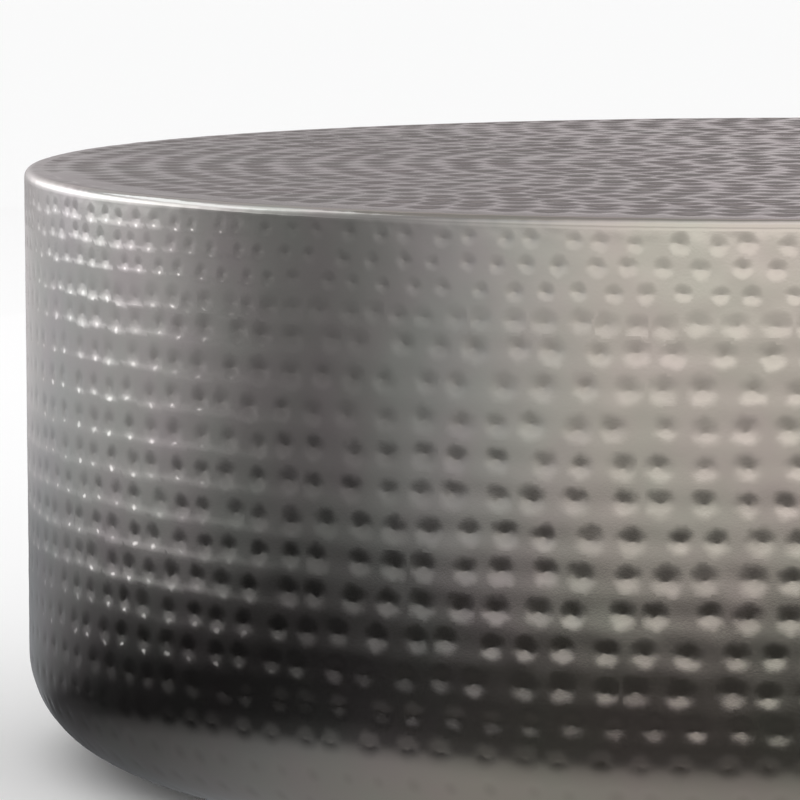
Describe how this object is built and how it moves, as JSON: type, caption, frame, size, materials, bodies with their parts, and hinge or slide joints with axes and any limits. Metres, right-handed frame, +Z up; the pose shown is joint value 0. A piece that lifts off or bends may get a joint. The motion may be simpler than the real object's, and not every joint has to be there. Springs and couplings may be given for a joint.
{
  "type": "hammered metal drum coffee table",
  "caption": "Low round drum coffee table of hammered sheet metal with a flat top and a rounded foot, over a light welded steel frame on floor glides.",
  "frame": {"origin": "on the floor, on the drum's axis, under the middle of the glides' flat feet", "axes": "+Z up along the drum's axis; -Y is the front that the picture shows; +X to the right"},
  "size_m": [0.914, 0.914, 0.343],
  "materials": {
    "hammered_sheet": "hammered in rows, satin antique-nickel plating",
    "frame_steel": "black semi-matte paint",
    "board": "raw fibre board",
    "glide_nylon": "moulded black nylon",
    "screw_steel": "zinc plated"
  },
  "bodies": {
    "root": {"top_pan": "hammered_sheet", "front_wall": "hammered_sheet", "back_wall": "hammered_sheet", "base_ring": "hammered_sheet", "left_seam_strap": "hammered_sheet", "right_seam_strap": "hammered_sheet", "top_hoop": "frame_steel", "cross_bar": "frame_steel", "front_half_bar": "frame_steel", "back_half_bar": "frame_steel", "base_hoop": "frame_steel", "rib_1": "frame_steel", "rib_2": "frame_steel", "rib_3": "frame_steel", "rib_4": "frame_steel", "rib_5": "frame_steel", "rib_6": "frame_steel", "top_board": "board", "glide_1": "glide_nylon", "glide_2": "glide_nylon", "glide_3": "glide_nylon", "glide_4": "glide_nylon", "glide_5": "glide_nylon", "glide_6": "glide_nylon", "glide_screw_1": "screw_steel", "glide_screw_2": "screw_steel", "glide_screw_3": "screw_steel", "glide_screw_4": "screw_steel", "glide_screw_5": "screw_steel", "glide_screw_6": "screw_steel", "board_screw_1": "screw_steel", "board_screw_2": "screw_steel", "board_screw_3": "screw_steel", "board_screw_4": "screw_steel", "board_screw_5": "screw_steel", "board_screw_6": "screw_steel", "board_screw_7": "screw_steel", "board_screw_8": "screw_steel", "board_screw_9": "screw_steel", "board_screw_10": "screw_steel", "board_screw_11": "screw_steel", "board_screw_12": "screw_steel"}
  },
  "joints": []
}
